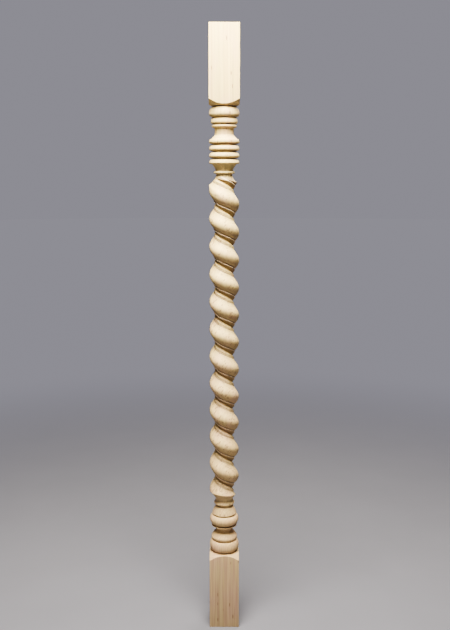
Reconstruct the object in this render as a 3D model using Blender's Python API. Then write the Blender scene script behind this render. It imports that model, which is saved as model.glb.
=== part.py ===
"""A turned wooden baluster with square ends and a left-hand rope twist.

Metres, +Z up. The origin is the centre of the underside, on which the baluster stands.
The work follows the lathe: a square length of wood is turned round between its two
blocks, and then a shaped cutter travels along the shaft and leaves the rope.
"""

import math

import bmesh
import bpy

# The square wood
LENGTH = 0.914
STOCK_WIDTH = 0.045
UPPER_BLOCK = 0.107
LOWER_BLOCK = 0.1074
CLEAN_UP = 0.0001

# The shoulders between the blocks and the turned work
UPPER_SHOULDER = 0.0106
LOWER_SHOULDER = 0.0096
SHOULDER_CURVE = 1.4

# Upper turning, from the block down. A depth is measured in from the fullest turned line.
CUSHION_TOP_DEPTH = 0.0068
CUSHION_RISE = 0.0103
CUSHION_FALL = 0.0052
BEAD_GROOVE_DEPTH = 0.007
BEAD_DEPTH = 0.0026
BEAD_RISE = 0.0069
BEAD_FALL = 0.003
FILLET_GROOVE_DEPTH = 0.0079
FILLET_BEAD_DEPTH = 0.004
FILLET_BEAD_RISE = 0.003
FILLET_BEAD_FALL = 0.0023
NECK_TOP_DEPTH = 0.0078
NECK_DEPTH = 0.0085
NECK_HEIGHT = 0.01
NECK_HOLLOW = 0.0003
FLARE_DEPTH = 0.0027
FLARE_HEIGHT = 0.0063
FLARE_HOLLOW = 0.0004
RIM_RISE = 0.0045
RIM_FALL = 0.0031
RING_COUNT = 3
RING_RISE = 0.0069
RING_FALL = 0.0034
RING_GROOVE_DEPTH = 0.0082
RING_EDGE = 0.0008
RING_EDGE_DEPTH = 0.0008
COVE_STEP = 0.0004
COVE_TOP_DEPTH = 0.0038
COVE_HEIGHT = 0.01
COVE_DEPTH = 0.0098
COVE_HOLLOW = 0.0008
COLLAR_DEPTH = 0.0067
COLLAR_RISE = 0.0028
COLLAR_RIM = 0.0006
COLLAR_FALL = 0.001
UPPER_NECK_DEPTH = 0.0106
TRUMPET_HEIGHT = 0.0164
TRUMPET_HOLLOW = 0.0027

# Lower turning, from the block up
LOWER_GROOVE_DEPTH = 0.0048
LOWER_TORUS_RISE = 0.0078
LOWER_TORUS_FALL = 0.0094
VASE_GROOVE_DEPTH = 0.0049
VASE_DEPTH = 0.0025
VASE_RISE = 0.0051
VASE_HEIGHT = 0.0103
VASE_SWELL = 0.0009
VASE_NECK_DEPTH = 0.0114
DISH_HEIGHT = 0.0068
DISH_FOOT_DEPTH = 0.0048
DISH_HOLLOW = 0.001
DISH_EDGE = 0.0004
DISH_DEPTH = 0.0032
DISH_RIM = 0.0009
TORUS_GROOVE_STEP = 0.0011
TORUS_GROOVE_DEPTH = 0.0076
MIDDLE_TORUS_DEPTH = 0.0004
MIDDLE_TORUS_RISE = 0.0081
MIDDLE_TORUS_FALL = 0.0082
CONE_GROOVE_DEPTH = 0.0078
CONE_EDGE = 0.0012
CONE_FOOT_DEPTH = 0.0038
CONE_HEIGHT = 0.0112
CONE_TOP_DEPTH = 0.0091
CONE_SWELL = 0.0006
KNOB_GROOVE = 0.002
KNOB_GROOVE_DEPTH = 0.0112
KNOB_DEPTH = 0.0067
KNOB_RISE = 0.0036
KNOB_EDGE = 0.0008
KNOB_EDGE_DEPTH = 0.007
LOWER_NECK_DEPTH = 0.0092
LOWER_NECK_HEIGHT = 0.0059
LOWER_NECK_HOLLOW = 0.0006
SKIRT_HEIGHT = 0.012
SKIRT_HOLLOW = 0.0006

# The rope: one strand, in a left-hand twist
ROPE_LEAD = 0.04175
ROPE_START_ANGLE = -37.8
CREST_DEPTH = 0.0002
UPPER_SIDE_FULLNESS = 1.1
LOWER_SIDE = 0.0122
LOWER_SIDE_FULLNESS = 0.76
STRAND_EDGE_DEPTH = 0.0074
STRAND_BEAD = 0.002
STRAND_BEAD_DEPTH = 0.0065
GROOVE_WIDTH = 0.0083
GROOVE_FLOOR = 0.0052
GROOVE_DEPTH = 0.0105
BAND_WIDTH = 0.0038
BAND_DEPTH = 0.0078
RUN_IN_TURNS = 0.72
RUN_IN_END_ANGLE = 258

# How finely the round work is cut into facets
LATHE_SIDES = 24
ROPE_SIDES = 20
FACET = 0.0038
STRAND_STEPS = 3
SHARP_ANGLE = 35

# How far a cutting shape runs past what it cuts, and the rope's spare turns at each end
OVERRUN = 0.003
SPARE_TURNS = 2

WOOD_COLOUR = (0.72, 0.55, 0.36, 1)
WOOD_ROUGHNESS = 0.6

FULL_RADIUS = STOCK_WIDTH / 2 - CLEAN_UP
CORNER_RADIUS = STOCK_WIDTH / 2 * math.sqrt(2)


class Turning:
    """An outline of lathe work, drawn from a block's shoulder towards the rope."""

    def __init__(self, height, direction, depth):
        self.height = height
        self.direction = direction
        self.depth = depth
        self.points = [(FULL_RADIUS - depth, height)]

    def add(self, run, depth):
        """One point, at a run along the axis from where the last form ended."""
        self.points.append((FULL_RADIUS - depth, self.height + self.direction * run))

    def end(self, run, depth):
        self.height += self.direction * run
        self.depth = depth

    def shares(self, run, depth):
        """Even steps along a curve, each about as long as a facet."""
        steps = max(2, round(math.hypot(run, depth - self.depth) / FACET))
        return [step / steps for step in range(1, steps + 1)]

    def line(self, run, depth):
        self.add(run, depth)
        self.end(run, depth)

    def rise(self, run, depth):
        """A quarter of an ellipse that swells out to its fullest line."""
        for share in self.shares(run, depth):
            angle = math.pi / 2 * share
            swell = (self.depth - depth) * math.sin(angle)
            self.add(run * (1 - math.cos(angle)), self.depth - swell)
        self.end(run, depth)

    def fall(self, run, depth):
        """A quarter of an ellipse that rounds in from its fullest line."""
        for share in self.shares(run, depth):
            angle = math.pi / 2 * share
            sink = (depth - self.depth) * (1 - math.cos(angle))
            self.add(run * math.sin(angle), self.depth + sink)
        self.end(run, depth)

    def bow(self, run, depth, swell):
        """A shallow curve that stands out from its straight line, or in where below zero."""
        for share in self.shares(run, depth):
            straight = self.depth + (depth - self.depth) * share
            self.add(run * share, straight - 4 * swell * share * (1 - share))
        self.end(run, depth)


def shoulder(corner_height, rise, foot_depth, direction):
    """The turned end of a block, from beyond the corner of the wood in to the shaft."""
    foot_radius = FULL_RADIUS - foot_depth
    foot_height = corner_height + direction * rise
    outer_radius = CORNER_RADIUS + OVERRUN
    steps = max(2, round((outer_radius - foot_radius) / FACET))
    points = []
    for step in range(steps):
        radius = outer_radius + (foot_radius - outer_radius) * step / steps
        share = (radius - foot_radius) / (CORNER_RADIUS - foot_radius)
        points.append((radius, foot_height - direction * rise * share ** SHOULDER_CURVE))
    return points, foot_height


def upper_turning():
    """The turned work under the upper block, down to the full radius of the shaft."""
    corner_height = LENGTH - UPPER_BLOCK
    points, foot = shoulder(corner_height, UPPER_SHOULDER, CUSHION_TOP_DEPTH, -1)
    work = Turning(foot, -1, CUSHION_TOP_DEPTH)
    work.rise(CUSHION_RISE, 0)
    work.fall(CUSHION_FALL, BEAD_GROOVE_DEPTH)
    work.rise(BEAD_RISE, BEAD_DEPTH)
    work.fall(BEAD_FALL, FILLET_GROOVE_DEPTH)
    work.rise(FILLET_BEAD_RISE, FILLET_BEAD_DEPTH)
    work.fall(FILLET_BEAD_FALL, NECK_TOP_DEPTH)
    work.bow(NECK_HEIGHT, NECK_DEPTH, -NECK_HOLLOW)
    work.bow(FLARE_HEIGHT, FLARE_DEPTH, -FLARE_HOLLOW)
    work.rise(RIM_RISE, 0)
    work.fall(RIM_FALL, RING_GROOVE_DEPTH)
    for ring in range(RING_COUNT):
        work.rise(RING_RISE, 0)
        if ring < RING_COUNT - 1:
            work.fall(RING_FALL, RING_GROOVE_DEPTH)
    work.bow(RING_EDGE, RING_EDGE_DEPTH, RING_EDGE_DEPTH / 4)
    work.line(COVE_STEP, COVE_TOP_DEPTH)
    work.bow(COVE_HEIGHT, COVE_DEPTH, -COVE_HOLLOW)
    work.rise(COLLAR_RISE, COLLAR_DEPTH)
    work.line(COLLAR_RIM, COLLAR_DEPTH)
    work.fall(COLLAR_FALL, UPPER_NECK_DEPTH)
    neck = work.height
    work.bow(TRUMPET_HEIGHT, 0, -TRUMPET_HOLLOW)
    return points + work.points, neck


def lower_turning():
    """The turned work on the lower block, up to the full radius of the shaft."""
    points, foot = shoulder(LOWER_BLOCK, LOWER_SHOULDER, LOWER_GROOVE_DEPTH, 1)
    work = Turning(foot, 1, LOWER_GROOVE_DEPTH)
    work.rise(LOWER_TORUS_RISE, 0)
    work.fall(LOWER_TORUS_FALL, VASE_GROOVE_DEPTH)
    work.rise(VASE_RISE, VASE_DEPTH)
    work.bow(VASE_HEIGHT, VASE_NECK_DEPTH, VASE_SWELL)
    work.bow(DISH_HEIGHT, DISH_FOOT_DEPTH, -DISH_HOLLOW)
    work.line(DISH_EDGE, DISH_DEPTH)
    work.line(DISH_RIM, DISH_DEPTH)
    work.line(TORUS_GROOVE_STEP, TORUS_GROOVE_DEPTH)
    work.rise(MIDDLE_TORUS_RISE, MIDDLE_TORUS_DEPTH)
    work.fall(MIDDLE_TORUS_FALL, CONE_GROOVE_DEPTH)
    work.line(CONE_EDGE, CONE_FOOT_DEPTH)
    work.bow(CONE_HEIGHT, CONE_TOP_DEPTH, CONE_SWELL)
    work.line(KNOB_GROOVE, KNOB_GROOVE_DEPTH)
    work.rise(KNOB_RISE, KNOB_DEPTH)
    work.line(KNOB_EDGE, KNOB_EDGE_DEPTH)
    work.bow(LOWER_NECK_HEIGHT, LOWER_NECK_DEPTH, -LOWER_NECK_HOLLOW)
    neck = work.height
    work.bow(SKIRT_HEIGHT, 0, -SKIRT_HOLLOW)
    return points + work.points, neck


def new_object(name, bm):
    """A mesh object of what the bmesh holds, with its faces turned outwards."""
    bmesh.ops.recalc_face_normals(bm, faces=bm.faces)
    if bm.calc_volume(signed=True) < 0:
        bmesh.ops.reverse_faces(bm, faces=bm.faces)
    mesh = bpy.data.meshes.new(name)
    bm.to_mesh(mesh)
    bm.free()
    mesh.shade_smooth()
    mesh.set_sharp_from_angle(angle=math.radians(SHARP_ANGLE))
    item = bpy.data.objects.new(name, mesh)
    bpy.context.scene.collection.objects.link(item)
    return item


def as_cutter(item):
    item.hide_render = True
    item.display_type = "WIRE"
    return item


def combine(target, operation, cutter):
    modifier = target.modifiers.new(cutter.name, "BOOLEAN")
    modifier.operation = operation
    modifier.object = cutter
    modifier.solver = "EXACT"


def lathe(name, points):
    """A closed solid turned from an outline that runs from its top to its foot."""
    bm = bmesh.new()
    rings = []
    for radius, height in points:
        ring = []
        for side in range(LATHE_SIDES):
            angle = 2 * math.pi * side / LATHE_SIDES
            ring.append(bm.verts.new((radius * math.cos(angle), radius * math.sin(angle), height)))
        rings.append(ring)
    for upper, lower in zip(rings, rings[1:]):
        for side in range(LATHE_SIDES):
            after = (side + 1) % LATHE_SIDES
            bm.faces.new((upper[side], lower[side], lower[after], upper[after]))
    bm.faces.new(rings[0])
    bm.faces.new(reversed(rings[-1]))
    return new_object(name, bm)


def box(name, width, low, high):
    bm = bmesh.new()
    bmesh.ops.create_cube(bm, size=1)
    bmesh.ops.scale(bm, vec=(width, width, high - low), verts=bm.verts)
    bmesh.ops.translate(bm, vec=(0, 0, (high + low) / 2), verts=bm.verts)
    return new_object(name, bm)


def strand_side(run, fullness):
    """One side of the strand, from its crest out: (distance from the crest, depth) points."""
    points = []
    for step in range(STRAND_STEPS):
        share = step / STRAND_STEPS
        lift = math.cos(math.pi / 2 * share) ** fullness
        points.append((run * share, CREST_DEPTH + (STRAND_EDGE_DEPTH - CREST_DEPTH) * (1 - lift)))
    points.append((run, STRAND_EDGE_DEPTH))
    return points


def rope_section():
    """One pass of the cutter, from crest to crest: (distance below the crest, depth) points.

    Below the strand come a small bead, a groove and a plain band, and then the next strand.
    """
    lip = LOWER_SIDE + STRAND_BEAD
    upper_side = ROPE_LEAD - lip - GROOVE_WIDTH - BAND_WIDTH
    valley = [
        (LOWER_SIDE + STRAND_BEAD / 2, STRAND_BEAD_DEPTH),
        (lip, STRAND_BEAD_DEPTH),
        (lip + GROOVE_FLOOR, GROOVE_DEPTH),
        (lip + GROOVE_WIDTH, BAND_DEPTH),
    ]
    next_strand = strand_side(upper_side, UPPER_SIDE_FULLNESS)
    next_side = [(ROPE_LEAD - run, depth) for run, depth in next_strand[:0:-1]]
    return strand_side(LOWER_SIDE, LOWER_SIDE_FULLNESS) + valley + next_side


def rope_bolt(low, high):
    """The rope on its own, as a closed solid that runs a little past two heights.

    The cutter is fed in as it turns, so the rope starts shallow at the top.
    """
    section = rope_section()
    turns = math.ceil((high - low) / ROPE_LEAD) + 2 * SPARE_TURNS
    start = high + SPARE_TURNS * ROPE_LEAD
    first_angle = ROPE_START_ANGLE - 360 * SPARE_TURNS
    bm = bmesh.new()
    grid = []
    for step in range(turns * ROPE_SIDES + 1):
        turn = step / ROPE_SIDES
        degrees = first_angle + 360 * turn
        angle = math.radians(degrees)
        left_to_feed = (RUN_IN_END_ANGLE - 360 - degrees) / 360 / RUN_IN_TURNS
        feed = GROOVE_DEPTH * min(max(left_to_feed, 0), 1)
        row = []
        for drop, depth in section:
            radius = FULL_RADIUS - depth + feed
            height = start - ROPE_LEAD * turn - drop
            row.append(bm.verts.new((radius * math.cos(angle), radius * math.sin(angle), height)))
        if step >= ROPE_SIDES:
            grid[step - ROPE_SIDES].append(row[0])
        grid.append(row)
    for row, after in zip(grid[:-ROPE_SIDES], grid[1:-ROPE_SIDES]):
        for point in range(len(section)):
            bm.faces.new((row[point], row[point + 1], after[point + 1], after[point]))
    for height, outwards in ((high + OVERRUN, 1), (low - OVERRUN, -1)):
        everything = bm.verts[:] + bm.edges[:] + bm.faces[:]
        cut = bmesh.ops.bisect_plane(
            bm, geom=everything, plane_co=(0, 0, height), plane_no=(0, 0, outwards),
            clear_outer=True)
        rim = [item for item in cut["geom_cut"] if isinstance(item, bmesh.types.BMEdge)]
        bmesh.ops.edgeloop_fill(bm, edges=rim)
    loose = [vertex for vertex in bm.verts if not vertex.link_faces]
    bmesh.ops.delete(bm, geom=loose, context="VERTS")
    return as_cutter(new_object("rope_bolt", bm))


def rope_waste(low, high):
    """What the cutter takes off the shaft: a sleeve between the necks, with the rope left out."""
    sleeve = as_cutter(box("rope_waste", 2 * (FULL_RADIUS + OVERRUN), low, high))
    combine(sleeve, "DIFFERENCE", rope_bolt(low, high))
    return sleeve


def wood():
    material = bpy.data.materials.new("pale_hardwood")
    material.use_nodes = True
    shader = material.node_tree.nodes["Principled BSDF"]
    shader.inputs["Base Color"].default_value = WOOD_COLOUR
    shader.inputs["Roughness"].default_value = WOOD_ROUGHNESS
    shader.inputs["Metallic"].default_value = 0
    return material


def baluster():
    upper, upper_neck = upper_turning()
    lower, lower_neck = lower_turning()
    block_radius = CORNER_RADIUS + OVERRUN
    outline = [(block_radius, LENGTH + OVERRUN)] + upper
    outline += lower[::-1] + [(block_radius, -OVERRUN)]
    item = lathe("baluster", outline)
    combine(item, "INTERSECT", as_cutter(box("square_stock", STOCK_WIDTH, 0, LENGTH)))
    combine(item, "DIFFERENCE", rope_waste(lower_neck, upper_neck))
    item.data.materials.append(wood())
    return item


def main():
    for item in list(bpy.data.objects):
        bpy.data.objects.remove(item)
    baluster()


main()
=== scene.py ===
"""The turned baluster's picture: fine wood surface, floor, light and camera.

Metres, in the frame of the solid. The visible piece repeats the solid's named sizes and
its way of working, with finer facets, eased edges, and a crevice and a fine line on the rope.
"""

import math

import bmesh
import bpy
import mathutils
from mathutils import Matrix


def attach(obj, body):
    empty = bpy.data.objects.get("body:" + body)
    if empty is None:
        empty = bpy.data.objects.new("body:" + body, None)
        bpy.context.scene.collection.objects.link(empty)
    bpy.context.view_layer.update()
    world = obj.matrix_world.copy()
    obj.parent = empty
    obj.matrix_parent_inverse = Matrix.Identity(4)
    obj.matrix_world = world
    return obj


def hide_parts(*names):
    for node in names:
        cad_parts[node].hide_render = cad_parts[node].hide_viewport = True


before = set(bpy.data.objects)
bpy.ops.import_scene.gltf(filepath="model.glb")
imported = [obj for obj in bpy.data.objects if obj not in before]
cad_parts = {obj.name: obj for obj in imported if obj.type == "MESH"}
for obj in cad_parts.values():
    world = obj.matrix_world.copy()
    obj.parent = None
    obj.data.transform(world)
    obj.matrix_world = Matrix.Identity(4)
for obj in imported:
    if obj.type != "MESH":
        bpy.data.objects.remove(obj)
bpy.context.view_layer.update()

# The square wood
LENGTH = 0.914
STOCK_WIDTH = 0.045
UPPER_BLOCK = 0.107
LOWER_BLOCK = 0.1074
CLEAN_UP = 0.0001

# The shoulders between the blocks and the turned work
UPPER_SHOULDER = 0.0106
LOWER_SHOULDER = 0.0096
SHOULDER_CURVE = 1.4

# Upper turning, from the block down. A depth is measured in from the fullest turned line.
CUSHION_TOP_DEPTH = 0.0068
CUSHION_RISE = 0.0103
CUSHION_FALL = 0.0052
BEAD_GROOVE_DEPTH = 0.007
BEAD_DEPTH = 0.0026
BEAD_RISE = 0.0069
BEAD_FALL = 0.003
FILLET_GROOVE_DEPTH = 0.0079
FILLET_BEAD_DEPTH = 0.004
FILLET_BEAD_RISE = 0.003
FILLET_BEAD_FALL = 0.0023
NECK_TOP_DEPTH = 0.0078
NECK_DEPTH = 0.0085
NECK_HEIGHT = 0.01
NECK_HOLLOW = 0.0003
FLARE_DEPTH = 0.0027
FLARE_HEIGHT = 0.0063
FLARE_HOLLOW = 0.0004
RIM_RISE = 0.0045
RIM_FALL = 0.0031
RING_COUNT = 3
RING_RISE = 0.0069
RING_FALL = 0.0034
RING_GROOVE_DEPTH = 0.0082
RING_EDGE = 0.0008
RING_EDGE_DEPTH = 0.0008
COVE_STEP = 0.0004
COVE_TOP_DEPTH = 0.0038
COVE_HEIGHT = 0.01
COVE_DEPTH = 0.0098
COVE_HOLLOW = 0.0008
COLLAR_DEPTH = 0.0067
COLLAR_RISE = 0.0028
COLLAR_RIM = 0.0006
COLLAR_FALL = 0.001
UPPER_NECK_DEPTH = 0.0106
TRUMPET_HEIGHT = 0.0164
TRUMPET_HOLLOW = 0.0027

# Lower turning, from the block up
LOWER_GROOVE_DEPTH = 0.0048
LOWER_TORUS_RISE = 0.0078
LOWER_TORUS_FALL = 0.0094
VASE_GROOVE_DEPTH = 0.0049
VASE_DEPTH = 0.0025
VASE_RISE = 0.0051
VASE_HEIGHT = 0.0103
VASE_SWELL = 0.0009
VASE_NECK_DEPTH = 0.0114
DISH_HEIGHT = 0.0068
DISH_FOOT_DEPTH = 0.0048
DISH_HOLLOW = 0.001
DISH_EDGE = 0.0004
DISH_DEPTH = 0.0032
DISH_RIM = 0.0009
TORUS_GROOVE_STEP = 0.0011
TORUS_GROOVE_DEPTH = 0.0076
MIDDLE_TORUS_DEPTH = 0.0004
MIDDLE_TORUS_RISE = 0.0081
MIDDLE_TORUS_FALL = 0.0082
CONE_GROOVE_DEPTH = 0.0078
CONE_EDGE = 0.0012
CONE_FOOT_DEPTH = 0.0038
CONE_HEIGHT = 0.0112
CONE_TOP_DEPTH = 0.0091
CONE_SWELL = 0.0006
KNOB_GROOVE = 0.002
KNOB_GROOVE_DEPTH = 0.0112
KNOB_DEPTH = 0.0067
KNOB_RISE = 0.0036
KNOB_EDGE = 0.0008
KNOB_EDGE_DEPTH = 0.007
LOWER_NECK_DEPTH = 0.0092
LOWER_NECK_HEIGHT = 0.0059
LOWER_NECK_HOLLOW = 0.0006
SKIRT_HEIGHT = 0.012
SKIRT_HOLLOW = 0.0006

# The rope: one strand, in a left-hand twist
ROPE_LEAD = 0.04175
ROPE_START_ANGLE = -37.8
CREST_DEPTH = 0.0002
UPPER_SIDE_FULLNESS = 1.1
LOWER_SIDE = 0.0122
LOWER_SIDE_FULLNESS = 0.76
STRAND_EDGE_DEPTH = 0.0074
STRAND_BEAD = 0.002
STRAND_BEAD_DEPTH = 0.0065
GROOVE_WIDTH = 0.0083
GROOVE_FLOOR = 0.0052
GROOVE_DEPTH = 0.0105
BAND_WIDTH = 0.0038
BAND_DEPTH = 0.0078
RUN_IN_TURNS = 0.72
RUN_IN_END_ANGLE = 258

# How finely the round work is drawn
LATHE_SIDES = 96
ROPE_SIDES = 96
FACET = 0.0008
STRAND_STEPS = 11
SHARP_ANGLE = 32

# How far a cutting shape runs past what it cuts, and the rope's spare turns at each end
OVERRUN = 0.003
SPARE_TURNS = 2

# Relief that is finer than the solid's facets
ARRIS = 0.0005
ARRIS_STEPS = 3
STEP_LINE = 0.0005
CREVICE = 0.0004
CREVICE_DEPTH = 0.0087

FULL_RADIUS = STOCK_WIDTH / 2 - CLEAN_UP
CORNER_RADIUS = STOCK_WIDTH / 2 * math.sqrt(2)

# The wood's colours, as linear light
PALE_WOOD = (0.69, 0.515, 0.265, 1)
RING_WOOD = (0.57, 0.405, 0.2, 1)
OLIVE_WOOD = (0.58, 0.455, 0.23, 1)
PINK_WOOD = (0.62, 0.41, 0.27, 1)
# Painted light and shade along the length: a yellower top and a darker lower block
TOP_PAINTED_LIGHT_TINT = (0.97, 1.02, 0.9, 1)
LOW_PAINTED_SHADE_TINT = (0.86, 0.87, 0.95, 1)
PATCH_WOOD = (0.5, 0.31, 0.2, 1)
DARK_WOOD = (0.42, 0.28, 0.155, 1)
END_WOOD = (0.64, 0.46, 0.25, 1)
END_PORE = (0.33, 0.21, 0.12, 1)
FLECK_WOOD = (0.25, 0.15, 0.085, 1)
MARK_WOOD = (0.13, 0.075, 0.04, 1)
# Grooves: partly dust, partly painted shade
GROOVE_DUST_AND_SHADE = (0.4, 0.3, 0.23, 1)
# Painted shade, laid on undersides, in hollows and on the strand's lower side
PAINTED_SHADE_WOOD = (0.5, 0.44, 0.62, 1)
# Painted highlight on the rope's bead; on open edges, wear and painted highlight
WORN_AND_HIGHLIGHT_WOOD = (0.82, 0.66, 0.45, 1)
# Painted highlight over the rope's crown, on the side that faces the light
CROWN_PAINTED_HIGHLIGHT = (0.86, 0.66, 0.34, 1)

# Growth rings, round a heart that lies outside the piece
HEART = (-0.052, 0.061, 0.3)
HEART_STRETCH = (1, 1, 0.012)
RING_WIDTH = 0.0019
RING_SWAY = 0.006
BROAD_RING_WIDTH = RING_WIDTH / 0.3

# Each pattern's scale: how often it changes in a metre, twice across the grain and then along it
SWAY_SCALE = (14, 14, 2.2)
FIBRE_SCALE = (1100, 1100, 22)
STRAND_SCALE = (330, 330, 7)
STREAK_SCALE = (760, 760, 14)
CLOUD_SCALE = (45, 45, 16)
RAGGED_SCALE = (400, 400, 150)
PORE_SCALE = (2600, 2600, 300)
FLECK_SCALE = (600, 600, 110)
MARK_EDGE_SCALE = (1500, 1500, 500)
LINE_SCALE = (90, 90, 60)
WEAR_SCALE = (160, 160, 25)
FLOOR_SCALE = (9, 9, 9)

# Each noise pattern's detail, and the roughness of the finer ones
COARSE_DETAIL = 1
DETAIL = 2
FINE_DETAIL = 3
FIBRE_NOISE = 0.6
PORE_NOISE = 0.7

# How far each layer shows: a smooth step from one place to another, and the share at each
RING_STEP = (0.3, 0.72)
BROAD_STEP = (0.38, 0.66, 0, 0.5)
CLOUD_STEP = (0.45, 0.7, 0, 0.7)
STRAND_STEP = (0.45, 0.7, 0, 0.4)
FIBRE_STEP = (0.5, 0.8, 0, 0.4)
STREAK_STEP = (0.42, 0.66, 0, 0.75)
RAGGED_STEP = (0.3, 0.6, 0.3, 1)
END_GRAIN_STEP = (0.45, 1)
PORE_STEP = (0.5, 0.66, 0, 0.7)
DASH_STEP = (0.26, 0.48, 1, 0)
MARK_EDGE_STEP = (0.3, 0.5, 0.55, 1)
HOLLOW_STEP = (0.3, 0.8, 0.95, 0)
UNDERSIDE_STEP = (-0.5, 0.15, 1, 0.1)
DEEP_STEP = (0.2, 0.7, 0.42, 0)
OPEN_STEP = (0.55, 0.8)
EDGE_STEP = (0.8, 0.99, 1, 0)
WEAR_STEP = (0.3, 0.75)
LINE_NOISE_STEP = (0.35, 0.6, 0.6, 1)
ROUGHNESS_STEP = (0.3, 0.8, 0.5, 0.72)

# The same kind of steps, by height in metres
STREAK_HEIGHTS = (0.1, 0.3, 1, 0.25)
TOP_HEIGHTS = (0.1, 0.7)
LOW_HEIGHTS = (0.09, 0.14, 1, 0)
HOLLOW_HEIGHTS = (0.2, 0.6, 0.6, 1)
LINE_HEIGHTS = (0.2, 0.6, 0.6, 1)
CROWN_HEIGHTS = (0.2, 0.6, 0.25, 1)
LOWER_SIDE_HEIGHTS = (0.2, 0.6, 0.2, 1)
FLECK_HEIGHTS = (0.3, 0.75, 0.3, 0.06)

# The same kind of steps on the rope, by distance as a share of the lead
LINE_STEP = (0.008, 0.015, 1, 0)
GROOVE_STEP = (0.04, 0.085, 0.6, 0)
CROWN_STEP = (0.04, 0.2, 0.4, 0)
BEAD_STEP = (0.012, 0.026, 0.85, 0)
LOWER_SIDE_START = (0.02, 0.2, 0, 0.6)
LOWER_SIDE_END = (0.36, 0.46, 1, 0)

# Places on the rope, down from the strand's crest as a share of the lead
LINE_AT = (LOWER_SIDE + STRAND_BEAD + GROOVE_WIDTH + BAND_WIDTH) / ROPE_LEAD
GROOVE_AT = (LOWER_SIDE + STRAND_BEAD + GROOVE_FLOOR * 0.75) / ROPE_LEAD
BEAD_AT = (LOWER_SIDE + STRAND_BEAD / 2) / ROPE_LEAD
CROWN_AT = 0.86

# Strengths, depths and reaches
END_OWN_SHARE = 0.5
END_STRENGTH = 0.6
FLECK_LEAN = 0.7
FLECK_SHARE_OFF_ROPE = 0.03
FLECK_STRENGTH = 0.85
EDGE_WEAR_AND_SHEEN = 0.35
WEAR_GLOSS = -0.12
END_DULLNESS = 0.12
SPECULAR = 0.35
PIT_DEPTH = 0.0002
FIBRE_DEPTH = 0.00008
TOOL_LINE = 0.0006
TOOL_DEPTH = 0.00005
GROOVE_REACH = 0.0028
HOLLOW_REACH = 0.014
HOLLOW_SAMPLES = 8
EDGE_REACH = 0.0009
EDGE_SAMPLES = 4
ROPE_FADE = 0.01
TURNED_FADE_OUT = 0.006
TURNED_FADE_IN = 0.002

# Marks of the front: across, height, length, width, lean in degrees, strength
MARK_REACH = 0.014
MARK_OUTLINE = (0.5, 1.1)
MARKS = (
    (0.0033, 0.6612, 0.0052, 0.0016, 55, 0.6),
    (0.0106, 0.656, 0.0045, 0.0014, 50, 0.5),
    (0.0107, 0.6133, 0.002, 0.0016, 0, 0.7),
    (0.0159, 0.613, 0.002, 0.0014, 0, 0.6),
    (-0.0129, 0.6177, 0.0016, 0.0014, 0, 0.45),
    (0.013, 0.5308, 0.0038, 0.0014, 40, 0.6),
    (-0.0163, 0.349, 0.004, 0.0012, 60, 0.45),
    (-0.0065, 0.2195, 0.009, 0.0014, 14, 0.6),
    (-0.0034, 0.2165, 0.006, 0.0014, 12, 0.55),
    (0.0034, 0.223, 0.0045, 0.0012, -15, 0.5),
    (-0.0126, 0.2214, 0.0035, 0.0012, 10, 0.4),
)

# Pinkish patches of the front, written in the same way
PATCHES = (
    (-0.0167, 0.5803, 0.009, 0.006, 0, 0.6),
    (-0.0085, 0.5392, 0.008, 0.012, 0, 0.45),
    (0.0131, 0.4862, 0.01, 0.016, 20, 0.5),
    (-0.0011, 0.4248, 0.007, 0.006, 30, 0.35),
    (0.0101, 0.409, 0.007, 0.012, 50, 0.45),
)

# Floor, light and camera
FLOOR_RADIUS = 12
FLOOR_SIDES = 96
FLOOR_COLOUR = (0.215, 0.208, 0.23, 1)
FLOOR_SHADE = (0.198, 0.192, 0.212, 1)
FLOOR_ROUGHNESS = 0.85
FLOOR_SPECULAR = 0.1
FADE_START = 0.35
FADE_END = 1.7
HORIZON_COLOUR = (0.245, 0.24, 0.27, 1)
CEILING_COLOUR = (0.015, 0.015, 0.018, 1)
BLACK = (0, 0, 0, 1)
BAND_TOP = 0.2
CEILING_START = 0.35
KEY_PLACE = (-0.05, -0.385, 1.39)
KEY_AIM = (0, 0, 0.45)
KEY_SIZE = 0.68
KEY_POWER = 42.5
KEY_COLOUR = (1, 0.98, 0.89)
FILL_PLACE = (-0.1, -1, 0.4)
FILL_AIM = (0, 0, 0.25)
FILL_SIZE = 0.4
FILL_POWER = 1.4
FILL_COLOUR = (1, 0.97, 0.9)
BACK_PLACE = (0.4, 0.75, 1.3)
BACK_SIZE = 0.8
BACK_POWER = 9
SENSOR = 36
PHOTO_WIDTH = 450
PHOTO_HEIGHT = 630
FOCAL_PIXELS = 816.7
OPTICAL_CENTRE = (224.25, 265.6)
CAMERA_PLACE = (0, -1.2194, 0.6975)
CAMERA_DIP = 6.363
CLIP_START = 0.05


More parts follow.
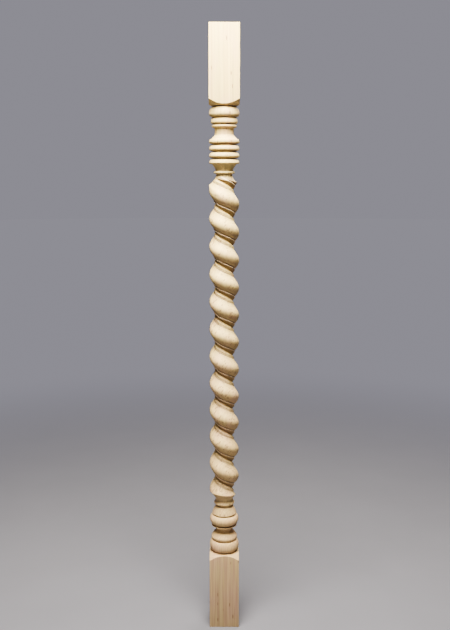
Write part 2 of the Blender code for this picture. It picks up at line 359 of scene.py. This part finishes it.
class Turning:
    """An outline of lathe work, drawn from a block's shoulder towards the rope."""

    def __init__(self, height, direction, depth):
        self.height = height
        self.direction = direction
        self.depth = depth
        self.points = [(FULL_RADIUS - depth, height)]

    def add(self, run, depth):
        """One point, at a run along the axis from where the last form ended."""
        self.points.append((FULL_RADIUS - depth, self.height + self.direction * run))

    def end(self, run, depth):
        self.height += self.direction * run
        self.depth = depth

    def shares(self, run, depth):
        """Even steps along a curve, each about as long as a facet."""
        steps = max(2, round(math.hypot(run, depth - self.depth) / FACET))
        return [step / steps for step in range(1, steps + 1)]

    def line(self, run, depth):
        self.add(run, depth)
        self.end(run, depth)

    def rise(self, run, depth):
        """A quarter of an ellipse that swells out to its fullest line."""
        for share in self.shares(run, depth):
            angle = math.pi / 2 * share
            swell = (self.depth - depth) * math.sin(angle)
            self.add(run * (1 - math.cos(angle)), self.depth - swell)
        self.end(run, depth)

    def fall(self, run, depth):
        """A quarter of an ellipse that rounds in from its fullest line."""
        for share in self.shares(run, depth):
            angle = math.pi / 2 * share
            sink = (depth - self.depth) * (1 - math.cos(angle))
            self.add(run * math.sin(angle), self.depth + sink)
        self.end(run, depth)

    def bow(self, run, depth, swell):
        """A shallow curve that stands out from its straight line, or in where below zero."""
        for share in self.shares(run, depth):
            straight = self.depth + (depth - self.depth) * share
            self.add(run * share, straight - 4 * swell * share * (1 - share))
        self.end(run, depth)


def shoulder(corner_height, rise, foot_depth, direction):
    """The turned end of a block, from beyond the corner of the wood in to the shaft."""
    foot_radius = FULL_RADIUS - foot_depth
    foot_height = corner_height + direction * rise
    outer_radius = CORNER_RADIUS + OVERRUN
    steps = max(2, round((outer_radius - foot_radius) / FACET))
    points = []
    for step in range(steps):
        radius = outer_radius + (foot_radius - outer_radius) * step / steps
        share = (radius - foot_radius) / (CORNER_RADIUS - foot_radius)
        points.append((radius, foot_height - direction * rise * share ** SHOULDER_CURVE))
    return points, foot_height


def upper_turning():
    """The turned work under the upper block, down to the full radius of the shaft."""
    corner_height = LENGTH - UPPER_BLOCK
    points, foot = shoulder(corner_height, UPPER_SHOULDER, CUSHION_TOP_DEPTH, -1)
    work = Turning(foot, -1, CUSHION_TOP_DEPTH)
    work.rise(CUSHION_RISE, 0)
    work.fall(CUSHION_FALL, BEAD_GROOVE_DEPTH)
    work.rise(BEAD_RISE, BEAD_DEPTH)
    work.fall(BEAD_FALL, FILLET_GROOVE_DEPTH)
    work.rise(FILLET_BEAD_RISE, FILLET_BEAD_DEPTH)
    work.fall(FILLET_BEAD_FALL, NECK_TOP_DEPTH)
    work.bow(NECK_HEIGHT, NECK_DEPTH, -NECK_HOLLOW)
    work.bow(FLARE_HEIGHT, FLARE_DEPTH, -FLARE_HOLLOW)
    work.rise(RIM_RISE, 0)
    work.fall(RIM_FALL, RING_GROOVE_DEPTH)
    for ring in range(RING_COUNT):
        work.rise(RING_RISE, 0)
        if ring < RING_COUNT - 1:
            work.fall(RING_FALL, RING_GROOVE_DEPTH)
    work.bow(RING_EDGE, RING_EDGE_DEPTH, RING_EDGE_DEPTH / 4)
    work.line(COVE_STEP, COVE_TOP_DEPTH)
    work.bow(COVE_HEIGHT, COVE_DEPTH, -COVE_HOLLOW)
    work.rise(COLLAR_RISE, COLLAR_DEPTH)
    work.line(COLLAR_RIM, COLLAR_DEPTH)
    work.fall(COLLAR_FALL, UPPER_NECK_DEPTH)
    neck = work.height
    work.bow(TRUMPET_HEIGHT, 0, -TRUMPET_HOLLOW)
    return points + work.points, neck


def lower_turning():
    """The turned work on the lower block, up to the full radius of the shaft."""
    points, foot = shoulder(LOWER_BLOCK, LOWER_SHOULDER, LOWER_GROOVE_DEPTH, 1)
    work = Turning(foot, 1, LOWER_GROOVE_DEPTH)
    work.rise(LOWER_TORUS_RISE, 0)
    work.fall(LOWER_TORUS_FALL, VASE_GROOVE_DEPTH)
    work.rise(VASE_RISE, VASE_DEPTH)
    work.bow(VASE_HEIGHT, VASE_NECK_DEPTH, VASE_SWELL)
    work.bow(DISH_HEIGHT, DISH_FOOT_DEPTH, -DISH_HOLLOW)
    work.line(DISH_EDGE, DISH_DEPTH)
    work.line(DISH_RIM, DISH_DEPTH)
    work.line(TORUS_GROOVE_STEP, TORUS_GROOVE_DEPTH)
    work.rise(MIDDLE_TORUS_RISE, MIDDLE_TORUS_DEPTH)
    work.fall(MIDDLE_TORUS_FALL, CONE_GROOVE_DEPTH)
    work.line(CONE_EDGE, CONE_FOOT_DEPTH)
    work.bow(CONE_HEIGHT, CONE_TOP_DEPTH, CONE_SWELL)
    work.line(KNOB_GROOVE, KNOB_GROOVE_DEPTH)
    work.rise(KNOB_RISE, KNOB_DEPTH)
    work.line(KNOB_EDGE, KNOB_EDGE_DEPTH)
    work.bow(LOWER_NECK_HEIGHT, LOWER_NECK_DEPTH, -LOWER_NECK_HOLLOW)
    neck = work.height
    work.bow(SKIRT_HEIGHT, 0, -SKIRT_HOLLOW)
    return points + work.points, neck


def new_object(name, bm):
    """A mesh object of what the bmesh holds, with its faces turned outwards."""
    bmesh.ops.recalc_face_normals(bm, faces=bm.faces)
    if bm.calc_volume(signed=True) < 0:
        bmesh.ops.reverse_faces(bm, faces=bm.faces)
    mesh = bpy.data.meshes.new(name)
    bm.to_mesh(mesh)
    bm.free()
    mesh.shade_smooth()
    mesh.set_sharp_from_angle(angle=math.radians(SHARP_ANGLE))
    item = bpy.data.objects.new(name, mesh)
    bpy.context.scene.collection.objects.link(item)
    return item


def combine(target, operation, cutter):
    """The Boolean of two objects, kept in the first one's mesh. The second is used up."""
    modifier = target.modifiers.new(cutter.name, "BOOLEAN")
    modifier.operation = operation
    modifier.object = cutter
    modifier.solver = "EXACT"
    bpy.context.view_layer.update()
    evaluated = target.evaluated_get(bpy.context.evaluated_depsgraph_get())
    result = bpy.data.meshes.new_from_object(evaluated)
    target.modifiers.clear()
    target.data = result
    bpy.data.objects.remove(cutter)


def lathe(name, points):
    """A closed solid turned from an outline that runs from its top to its foot."""
    bm = bmesh.new()
    rings = []
    for radius, height in points:
        ring = []
        for side in range(LATHE_SIDES):
            angle = 2 * math.pi * side / LATHE_SIDES
            ring.append(bm.verts.new((radius * math.cos(angle), radius * math.sin(angle), height)))
        rings.append(ring)
    for upper, lower in zip(rings, rings[1:]):
        for side in range(LATHE_SIDES):
            after = (side + 1) % LATHE_SIDES
            bm.faces.new((upper[side], lower[side], lower[after], upper[after]))
    bm.faces.new(rings[0])
    bm.faces.new(reversed(rings[-1]))
    return new_object(name, bm)


def box(name, width, low, high):
    bm = bmesh.new()
    bmesh.ops.create_cube(bm, size=1)
    bmesh.ops.scale(bm, vec=(width, width, high - low), verts=bm.verts)
    bmesh.ops.translate(bm, vec=(0, 0, (high + low) / 2), verts=bm.verts)
    return new_object(name, bm)


def strand_side(run, fullness):
    """One side of the strand, from its crest out: (distance from the crest, depth) points."""
    points = []
    for step in range(STRAND_STEPS):
        share = step / STRAND_STEPS
        lift = math.cos(math.pi / 2 * share) ** fullness
        points.append((run * share, CREST_DEPTH + (STRAND_EDGE_DEPTH - CREST_DEPTH) * (1 - lift)))
    points.append((run, STRAND_EDGE_DEPTH))
    return points


def rope_section():
    """One pass of the cutter, from crest to crest: (distance below the crest, depth) points.

    Below the strand come a small bead, a groove and a plain band, and then the next strand.
    """
    lip = LOWER_SIDE + STRAND_BEAD
    upper_side = ROPE_LEAD - lip - GROOVE_WIDTH - BAND_WIDTH
    valley = [
        (LOWER_SIDE + CREVICE, CREVICE_DEPTH),
        (LOWER_SIDE + STRAND_BEAD / 2, STRAND_BEAD_DEPTH),
        (lip, STRAND_BEAD_DEPTH),
        (lip + GROOVE_FLOOR, GROOVE_DEPTH),
        (lip + GROOVE_WIDTH, BAND_DEPTH),
        (ROPE_LEAD - upper_side - STEP_LINE, STRAND_EDGE_DEPTH + STEP_LINE),
    ]
    next_strand = strand_side(upper_side, UPPER_SIDE_FULLNESS)
    next_side = [(ROPE_LEAD - run, depth) for run, depth in next_strand[:0:-1]]
    return strand_side(LOWER_SIDE, LOWER_SIDE_FULLNESS) + valley + next_side


def rope_bolt(low, high):
    """The rope on its own, as a closed solid that runs a little past two heights.

    The cutter is fed in as it turns, so the rope starts shallow at the top.
    """
    section = rope_section()
    turns = math.ceil((high - low) / ROPE_LEAD) + 2 * SPARE_TURNS
    start = high + SPARE_TURNS * ROPE_LEAD
    first_angle = ROPE_START_ANGLE - 360 * SPARE_TURNS
    bm = bmesh.new()
    grid = []
    for step in range(turns * ROPE_SIDES + 1):
        turn = step / ROPE_SIDES
        degrees = first_angle + 360 * turn
        angle = math.radians(degrees)
        left_to_feed = (RUN_IN_END_ANGLE - 360 - degrees) / 360 / RUN_IN_TURNS
        feed = GROOVE_DEPTH * min(max(left_to_feed, 0), 1)
        row = []
        for drop, depth in section:
            radius = FULL_RADIUS - depth + feed
            height = start - ROPE_LEAD * turn - drop
            row.append(bm.verts.new((radius * math.cos(angle), radius * math.sin(angle), height)))
        if step >= ROPE_SIDES:
            grid[step - ROPE_SIDES].append(row[0])
        grid.append(row)
    for row, after in zip(grid[:-ROPE_SIDES], grid[1:-ROPE_SIDES]):
        for point in range(len(section)):
            bm.faces.new((row[point], row[point + 1], after[point + 1], after[point]))
    for height, outwards in ((high + OVERRUN, 1), (low - OVERRUN, -1)):
        everything = bm.verts[:] + bm.edges[:] + bm.faces[:]
        cut = bmesh.ops.bisect_plane(
            bm, geom=everything, plane_co=(0, 0, height), plane_no=(0, 0, outwards),
            clear_outer=True)
        rim = [item for item in cut["geom_cut"] if isinstance(item, bmesh.types.BMEdge)]
        bmesh.ops.edgeloop_fill(bm, edges=rim)
    loose = [vertex for vertex in bm.verts if not vertex.link_faces]
    bmesh.ops.delete(bm, geom=loose, context="VERTS")
    return new_object("rope_bolt", bm)


def rope_waste(low, high):
    """What the cutter takes off the shaft: a sleeve between the necks, with the rope left out."""
    sleeve = box("rope_waste", 2 * (FULL_RADIUS + OVERRUN), low, high)
    combine(sleeve, "DIFFERENCE", rope_bolt(low, high))
    return sleeve


def eased_box(width, low, high):
    """The square wood with its sharp edges taken off."""
    item = box("square_stock", width, low, high)
    bm = bmesh.new()
    bm.from_mesh(item.data)
    bmesh.ops.bevel(
        bm, geom=bm.edges[:], offset=ARRIS, offset_type="OFFSET", segments=ARRIS_STEPS,
        profile=0.5, affect="EDGES")
    bm.to_mesh(item.data)
    bm.free()
    return item


def baluster():
    """The one visible piece: turned between its blocks, and then carved."""
    upper, upper_neck = upper_turning()
    lower, lower_neck = lower_turning()
    block_radius = CORNER_RADIUS + OVERRUN
    outline = [(block_radius, LENGTH + OVERRUN)] + upper
    outline += lower[::-1] + [(block_radius, -OVERRUN)]
    item = lathe("baluster_wood", outline)
    combine(item, "INTERSECT", eased_box(STOCK_WIDTH, 0, LENGTH))
    combine(item, "DIFFERENCE", rope_waste(lower_neck, upper_neck))
    item.data.shade_smooth()
    item.data.set_sharp_from_angle(angle=math.radians(SHARP_ANGLE))
    item.data.materials.clear()
    item.data.materials.append(Wood(lower_neck, upper_neck).material())
    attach(item, "root")
    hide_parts("baluster")
    return item


class Shading:
    """Short calls that add nodes to one material and join them up."""

    def __init__(self, name):
        self.material = bpy.data.materials.new(name)
        self.material.use_nodes = True
        self.tree = self.material.node_tree
        self.shader = self.tree.nodes["Principled BSDF"]

    def feed(self, socket, value):
        if isinstance(value, bpy.types.NodeSocket):
            self.tree.links.new(value, socket)
        elif value is not None:
            socket.default_value = value

    def node(self, kind, inputs=(), **settings):
        item = self.tree.nodes.new("ShaderNode" + kind)
        for name, value in settings.items():
            setattr(item, name, value)
        for name, value in dict(inputs).items():
            self.feed(item.inputs[name], value)
        return item

    def math(self, operation, first, second=None, third=None):
        item = self.node("Math", operation=operation)
        for socket, value in zip(item.inputs, (first, second, third)):
            self.feed(socket, value)
        return item.outputs[0]

    def product(self, first, *others):
        for value in others:
            first = self.math("MULTIPLY", first, value)
        return first

    def vector(self, operation, first, second=None):
        item = self.node("VectorMath", operation=operation)
        self.feed(item.inputs[0], first)
        self.feed(item.inputs[1], second)
        return item.outputs["Value" if operation in ("LENGTH", "DOT_PRODUCT") else "Vector"]

    def ramp(self, value, low, high, to_low=0, to_high=1):
        """A smooth step from one value to another while the input runs from low to high."""
        item = self.node("MapRange", interpolation_type="SMOOTHSTEP", inputs={
            "Value": value, "From Min": low, "From Max": high, "To Min": to_low, "To Max": to_high})
        return item.outputs["Result"]

    def noise(self, place, scale, detail=DETAIL, roughness=0.5):
        """Noise from 0 to 1 in three directions, stretched by a scale of its own along each."""
        item = self.node("TexNoise", inputs={
            "Vector": self.vector("MULTIPLY", place, scale), "Scale": 1, "Detail": detail,
            "Roughness": roughness})
        return item.outputs["Fac"]

    def noise_along(self, length, per_metre, detail=DETAIL, roughness=0.5):
        """Noise from 0 to 1 along one measure."""
        item = self.node("TexNoise", noise_dimensions="1D", inputs={
            "W": self.math("MULTIPLY", length, per_metre), "Scale": 1, "Detail": detail,
            "Roughness": roughness})
        return item.outputs["Fac"]

    def mix(self, share, first, second, blend="MIX"):
        item = self.node("Mix", data_type="RGBA", blend_type=blend)
        self.feed(item.inputs[0], share)
        self.feed(item.inputs[6], first)
        self.feed(item.inputs[7], second)
        return item.outputs[2]

    def openness(self, reach):
        """How open a point lies, from 0 deep in a hollow to 1 in the clear."""
        item = self.node(
            "AmbientOcclusion", {"Distance": reach}, samples=HOLLOW_SAMPLES, only_local=True)
        return item.outputs["AO"]

    def bump(self, height, depth, under=None):
        item = self.node("Bump", inputs={"Height": height, "Distance": depth, "Normal": under})
        return item.outputs["Normal"]


def mark_field(look, place, marks):
    """Where the small marks or patches of the front are, from 0 to 1."""
    field = 0
    for x, z, length, width, lean, strength in marks:
        spot = look.node("Mapping", vector_type="TEXTURE", inputs={
            "Vector": place, "Location": (x, -MARK_REACH, z),
            "Rotation": (0, math.radians(lean), 0), "Scale": (width / 2, MARK_REACH, length / 2)})
        from_middle = look.vector("LENGTH", spot.outputs["Vector"])
        inside = look.ramp(from_middle, *MARK_OUTLINE, strength, 0)
        field = look.math("MAXIMUM", inside, field)
    return field


class Wood:
    """Unfinished pale hardwood, built up in layers. Each layer is laid over the last one."""

    def __init__(self, lower_neck, upper_neck):
        look = Shading("pale_hardwood_fine")
        self.look = look
        self.place = look.node("TexCoord").outputs["Object"]
        x, y, self.z = look.node("SeparateXYZ", {"Vector": self.place}).outputs
        self.normal = look.node("NewGeometry").outputs["Normal"]
        self.up = look.node("SeparateXYZ", {"Vector": self.normal}).outputs[2]
        self.end_grain = look.ramp(look.math("ABSOLUTE", self.up), *END_GRAIN_STEP)
        self.fibres = look.noise(self.place, FIBRE_SCALE, FINE_DETAIL, FIBRE_NOISE)
        self.hollow = look.openness(GROOVE_REACH)
        self.on_rope = look.product(
            look.ramp(self.z, lower_neck, lower_neck + ROPE_FADE),
            look.ramp(self.z, upper_neck - ROPE_FADE, upper_neck, 1, 0))
        self.below_crest = self.rope_place(x, y, upper_neck)
        self.colour = None

    def rope_place(self, x, y, upper_neck):
        """How far below the strand's crest a point of the rope lies, as a share of the lead."""
        look = self.look
        turn = look.math("DIVIDE", look.math("ARCTAN2", y, x), 2 * math.pi)
        below_neck = look.math("DIVIDE", look.math("SUBTRACT", upper_neck, self.z), ROPE_LEAD)
        phase = look.math("SUBTRACT", look.math("SUBTRACT", below_neck, turn), -ROPE_START_ANGLE / 360)
        return look.math("FRACT", phase)

    def near(self, centre, step):
        """A share that follows the rope's twist, by the distance from one place on its section."""
        look = self.look
        away = look.math("ABSOLUTE", look.math("SUBTRACT", self.below_crest, centre))
        return look.product(look.ramp(away, *step), self.on_rope)

    def lay(self, share, colour, blend="MIX"):
        self.colour = self.look.mix(share, self.colour, colour, blend)

    def grain(self):
        """Growth rings, cloudy tones, and the fibres and streaks along the length."""
        look = self.look
        sway = look.noise(self.place, SWAY_SCALE)
        ring_place = look.vector("SUBTRACT", self.place, HEART)
        from_heart = look.vector("LENGTH", look.vector("MULTIPLY", ring_place, HEART_STRETCH))
        ring_line = look.math("MULTIPLY_ADD", sway, RING_SWAY, from_heart)
        rings = look.noise_along(ring_line, 1 / RING_WIDTH, FINE_DETAIL, FIBRE_NOISE)
        broad = look.noise_along(ring_line, 1 / BROAD_RING_WIDTH, COARSE_DETAIL)
        self.colour = look.mix(look.ramp(rings, *RING_STEP), PALE_WOOD, RING_WOOD)
        self.lay(look.ramp(broad, *BROAD_STEP), OLIVE_WOOD)
        self.lay(look.ramp(look.noise(self.place, CLOUD_SCALE), *CLOUD_STEP), PINK_WOOD)
        self.lay(look.ramp(look.noise(self.place, STRAND_SCALE), *STRAND_STEP), DARK_WOOD)
        self.lay(look.ramp(self.fibres, *FIBRE_STEP), DARK_WOOD)
        streaks = look.ramp(look.noise(self.place, STREAK_SCALE), *STREAK_STEP)
        self.lay(look.product(streaks, look.ramp(self.z, *STREAK_HEIGHTS)), PATCH_WOOD)

    def tints(self):
        """The slow change of tone along the length, which is painted light and shade, and the front's
        pinkish patches.
        """
        look = self.look
        self.lay(look.ramp(self.z, *TOP_HEIGHTS), TOP_PAINTED_LIGHT_TINT, "MULTIPLY")
        self.lay(look.ramp(self.z, *LOW_HEIGHTS), LOW_PAINTED_SHADE_TINT, "MULTIPLY")
        ragged = look.ramp(look.noise(self.place, RAGGED_SCALE, FINE_DETAIL), *RAGGED_STEP)
        self.lay(look.product(mark_field(look, self.place, PATCHES), ragged), PATCH_WOOD)

    def end_tone(self):
        """End grain shows where the surface faces up or down, with open pores."""
        look = self.look
        pores = look.ramp(look.noise(self.place, PORE_SCALE, DETAIL, PORE_NOISE), *PORE_STEP)
        end_colour = look.mix(END_OWN_SHARE, look.mix(pores, END_WOOD, END_PORE), self.colour)
        self.lay(look.product(self.end_grain, END_STRENGTH), end_colour)

    def hollow_tone(self):
        """Undersides and hollows are made darker with painted shade, and grooves darker still, partly
        dust and partly painted shade.
        """
        look = self.look
        # Painted shade on undersides and in hollows
        painted_shade = look.product(
            look.ramp(look.openness(HOLLOW_REACH), *HOLLOW_STEP),
            look.ramp(self.up, *UNDERSIDE_STEP),
            look.ramp(self.z, *HOLLOW_HEIGHTS))
        self.lay(painted_shade, PAINTED_SHADE_WOOD, "MULTIPLY")
        # Grooves darker: partly dust, partly painted shade
        deep = look.ramp(self.hollow, *DEEP_STEP)
        dust_and_shade = look.math("MAXIMUM", deep, self.near(GROOVE_AT, GROOVE_STEP))
        self.lay(dust_and_shade, GROOVE_DUST_AND_SHADE, "MULTIPLY")

    def rope_tones(self):
        """The strand is paler over its crown, a painted highlight where it faces the light, and darker
        on its lower side, painted shade.
        """
        look = self.look
        # Painted highlight where the strand faces the light
        crown = look.product(self.near(CROWN_AT, CROWN_STEP), look.ramp(self.z, *CROWN_HEIGHTS))
        self.lay(crown, CROWN_PAINTED_HIGHLIGHT)
        # Painted shade on the strand's lower side
        under = look.product(
            look.ramp(self.below_crest, *LOWER_SIDE_START),
            look.ramp(self.below_crest, *LOWER_SIDE_END),
            look.ramp(self.z, *LOWER_SIDE_HEIGHTS),
            self.on_rope)
        self.lay(under, PAINTED_SHADE_WOOD, "MULTIPLY")

    def flecks_and_marks(self):
        """Ray flecks, the front's small marks, and the fine line beside the rope's band.

        A fleck is a short dark dash along the grain, and leans with the twist on the rope.
        Gives back how far a point lies in a fleck or mark, for the small pits there.
        """
        look = self.look
        lean = look.product(self.z, FLECK_LEAN, self.on_rope)
        leaning = look.vector("SUBTRACT", self.place, look.node("CombineXYZ", {"X": lean}).outputs[0])
        cells = look.node("TexVoronoi", {
            "Vector": look.vector("MULTIPLY", leaning, FLECK_SCALE), "Scale": 1, "Randomness": 1})
        chosen = look.node("SeparateColor", {"Color": cells.outputs["Color"]}).outputs[0]
        share = look.product(look.ramp(self.z, *FLECK_HEIGHTS), self.on_rope)
        share = look.math("MAXIMUM", share, FLECK_SHARE_OFF_ROPE)
        flecks = look.product(
            look.math("LESS_THAN", chosen, share),
            look.ramp(cells.outputs["Distance"], *DASH_STEP),
            look.math("SUBTRACT", 1, self.end_grain))
        self.lay(look.product(flecks, FLECK_STRENGTH), FLECK_WOOD)

        rough_edge = look.ramp(look.noise(self.place, MARK_EDGE_SCALE), *MARK_EDGE_STEP)
        marks = look.product(mark_field(look, self.place, MARKS), rough_edge)
        self.lay(marks, MARK_WOOD)

        line = look.product(
            self.near(LINE_AT, LINE_STEP),
            look.ramp(self.z, *LINE_HEIGHTS),
            look.ramp(look.noise(self.place, LINE_SCALE), *LINE_NOISE_STEP))
        self.lay(line, MARK_WOOD)
        return look.math("MAXIMUM", flecks, marks)

    def wear_and_highlights(self):
        """A painted highlight on the rope's bead, and open edges lighter, partly burnished by hands
        and partly painted highlight. Gives back how far.
        """
        look = self.look
        # Painted highlight along the rope's bead
        self.lay(self.near(BEAD_AT, BEAD_STEP), WORN_AND_HIGHLIGHT_WOOD)
        # Open edges lighter: partly wear, partly painted highlight
        rounded = look.node("Bevel", {"Radius": EDGE_REACH}, samples=EDGE_SAMPLES)
        same = look.vector("DOT_PRODUCT", rounded.outputs["Normal"], self.normal)
        worn_edge_and_sheen = look.product(
            look.ramp(same, *EDGE_STEP),
            look.ramp(self.hollow, *OPEN_STEP),
            look.ramp(look.noise(self.place, WEAR_SCALE), *WEAR_STEP))
        self.lay(look.product(worn_edge_and_sheen, EDGE_WEAR_AND_SHEEN), WORN_AND_HIGHLIGHT_WOOD)
        return worn_edge_and_sheen

    def tool_lines(self):
        """Lathe lines run round the turned work, and cutter lines along the strand."""
        look = self.look
        down_strand = look.product(self.below_crest, ROPE_LEAD)
        helix_line = look.noise_along(down_strand, 1 / TOOL_LINE, DETAIL, PORE_NOISE)
        lathe_line = look.noise_along(self.z, 1 / TOOL_LINE, DETAIL, PORE_NOISE)
        top = LENGTH - UPPER_BLOCK
        turned = look.product(
            look.ramp(self.z, LOWER_BLOCK - TURNED_FADE_OUT, LOWER_BLOCK + TURNED_FADE_IN),
            look.ramp(self.z, top - TURNED_FADE_IN, top + TURNED_FADE_OUT, 1, 0))
        return look.product(look.mix(self.on_rope, lathe_line, helix_line), turned)

    def material(self):
        """All the layers, with the gloss and the fine relief."""
        look = self.look
        self.grain()
        self.tints()
        self.end_tone()
        self.hollow_tone()
        self.rope_tones()
        pits = self.flecks_and_marks()
        worn_edge_and_sheen = self.wear_and_highlights()
        rough = look.ramp(self.fibres, *ROUGHNESS_STEP)
        rough = look.math("MULTIPLY_ADD", worn_edge_and_sheen, WEAR_GLOSS, rough)
        rough = look.math("MULTIPLY_ADD", self.end_grain, END_DULLNESS, rough)
        normal = look.bump(look.math("SUBTRACT", 1, pits), PIT_DEPTH)
        normal = look.bump(self.fibres, FIBRE_DEPTH, normal)
        normal = look.bump(self.tool_lines(), TOOL_DEPTH, normal)
        look.feed(look.shader.inputs["Base Color"], self.colour)
        look.feed(look.shader.inputs["Roughness"], rough)
        look.feed(look.shader.inputs["Normal"], normal)
        look.feed(look.shader.inputs["Specular IOR Level"], SPECULAR)
        return look.material


def floor():
    """A plain pale floor that fades into the tone of the horizon."""
    bm = bmesh.new()
    bmesh.ops.create_circle(bm, cap_ends=True, segments=FLOOR_SIDES, radius=FLOOR_RADIUS)
    mesh = bpy.data.meshes.new("floor")
    bm.to_mesh(mesh)
    bm.free()
    item = bpy.data.objects.new("floor", mesh)
    bpy.context.scene.collection.objects.link(item)
    look = Shading("pale_floor")
    place = look.node("TexCoord").outputs["Object"]
    away = look.vector("LENGTH", place)
    far = look.ramp(away, FADE_START, FADE_END)
    pale = look.mix(look.noise(place, FLOOR_SCALE, FINE_DETAIL), FLOOR_COLOUR, FLOOR_SHADE)
    look.feed(look.shader.inputs["Base Color"], look.mix(far, pale, BLACK))
    look.feed(look.shader.inputs["Emission Color"], look.mix(far, BLACK, HORIZON_COLOUR))
    look.feed(look.shader.inputs["Emission Strength"], 1)
    look.feed(look.shader.inputs["Roughness"], FLOOR_ROUGHNESS)
    look.feed(look.shader.inputs["Specular IOR Level"], FLOOR_SPECULAR)
    mesh.materials.append(look.material)


def area_light(name, place, target, size, power, colour):
    data = bpy.data.lights.new(name, "AREA")
    data.shape = "DISK"
    data.size = size
    data.energy = power
    data.color = colour
    item = bpy.data.objects.new(name, data)
    item.location = place
    aim = mathutils.Vector(target) - mathutils.Vector(place)
    item.rotation_euler = aim.to_track_quat("-Z", "Y").to_euler()
    bpy.context.scene.collection.objects.link(item)


def studio():
    """The tone of the picture, the light all round, and the lamps above, in front and behind."""
    scene = bpy.context.scene
    scene.view_settings.view_transform = "AgX"
    scene.view_settings.look = "AgX - High Contrast"
    world = bpy.data.worlds.new("studio")
    world.use_nodes = True
    tree = world.node_tree
    way = tree.nodes.new("ShaderNodeTexCoord")
    parts = tree.nodes.new("ShaderNodeSeparateXYZ")
    climb = tree.nodes.new("ShaderNodeMapRange")
    climb.interpolation_type = "SMOOTHSTEP"
    climb.inputs["From Min"].default_value = BAND_TOP
    climb.inputs["From Max"].default_value = CEILING_START
    shade = tree.nodes.new("ShaderNodeMix")
    shade.data_type = "RGBA"
    shade.inputs[6].default_value = HORIZON_COLOUR
    shade.inputs[7].default_value = CEILING_COLOUR
    tree.links.new(way.outputs["Generated"], parts.inputs[0])
    tree.links.new(parts.outputs[2], climb.inputs["Value"])
    tree.links.new(climb.outputs["Result"], shade.inputs[0])
    tree.links.new(shade.outputs[2], tree.nodes["Background"].inputs["Color"])
    scene.world = world
    area_light("key", KEY_PLACE, KEY_AIM, KEY_SIZE, KEY_POWER, KEY_COLOUR)
    area_light("fill", FILL_PLACE, FILL_AIM, FILL_SIZE, FILL_POWER, FILL_COLOUR)
    area_light("back", BACK_PLACE, KEY_AIM, BACK_SIZE, BACK_POWER, FILL_COLOUR)


def camera():
    """The photograph's own camera, as fitted to the baluster's outline."""
    data = bpy.data.cameras.new("camera")
    data.sensor_width = SENSOR
    data.lens = FOCAL_PIXELS * SENSOR / PHOTO_HEIGHT
    data.shift_x = (PHOTO_WIDTH / 2 - OPTICAL_CENTRE[0]) / PHOTO_HEIGHT
    data.shift_y = (OPTICAL_CENTRE[1] - PHOTO_HEIGHT / 2) / PHOTO_HEIGHT
    data.clip_start = CLIP_START
    item = bpy.data.objects.new("camera", data)
    item.location = CAMERA_PLACE
    item.rotation_euler = (math.radians(90 - CAMERA_DIP), 0, 0)
    bpy.context.scene.collection.objects.link(item)
    bpy.context.scene.camera = item


baluster()
floor()
studio()
camera()
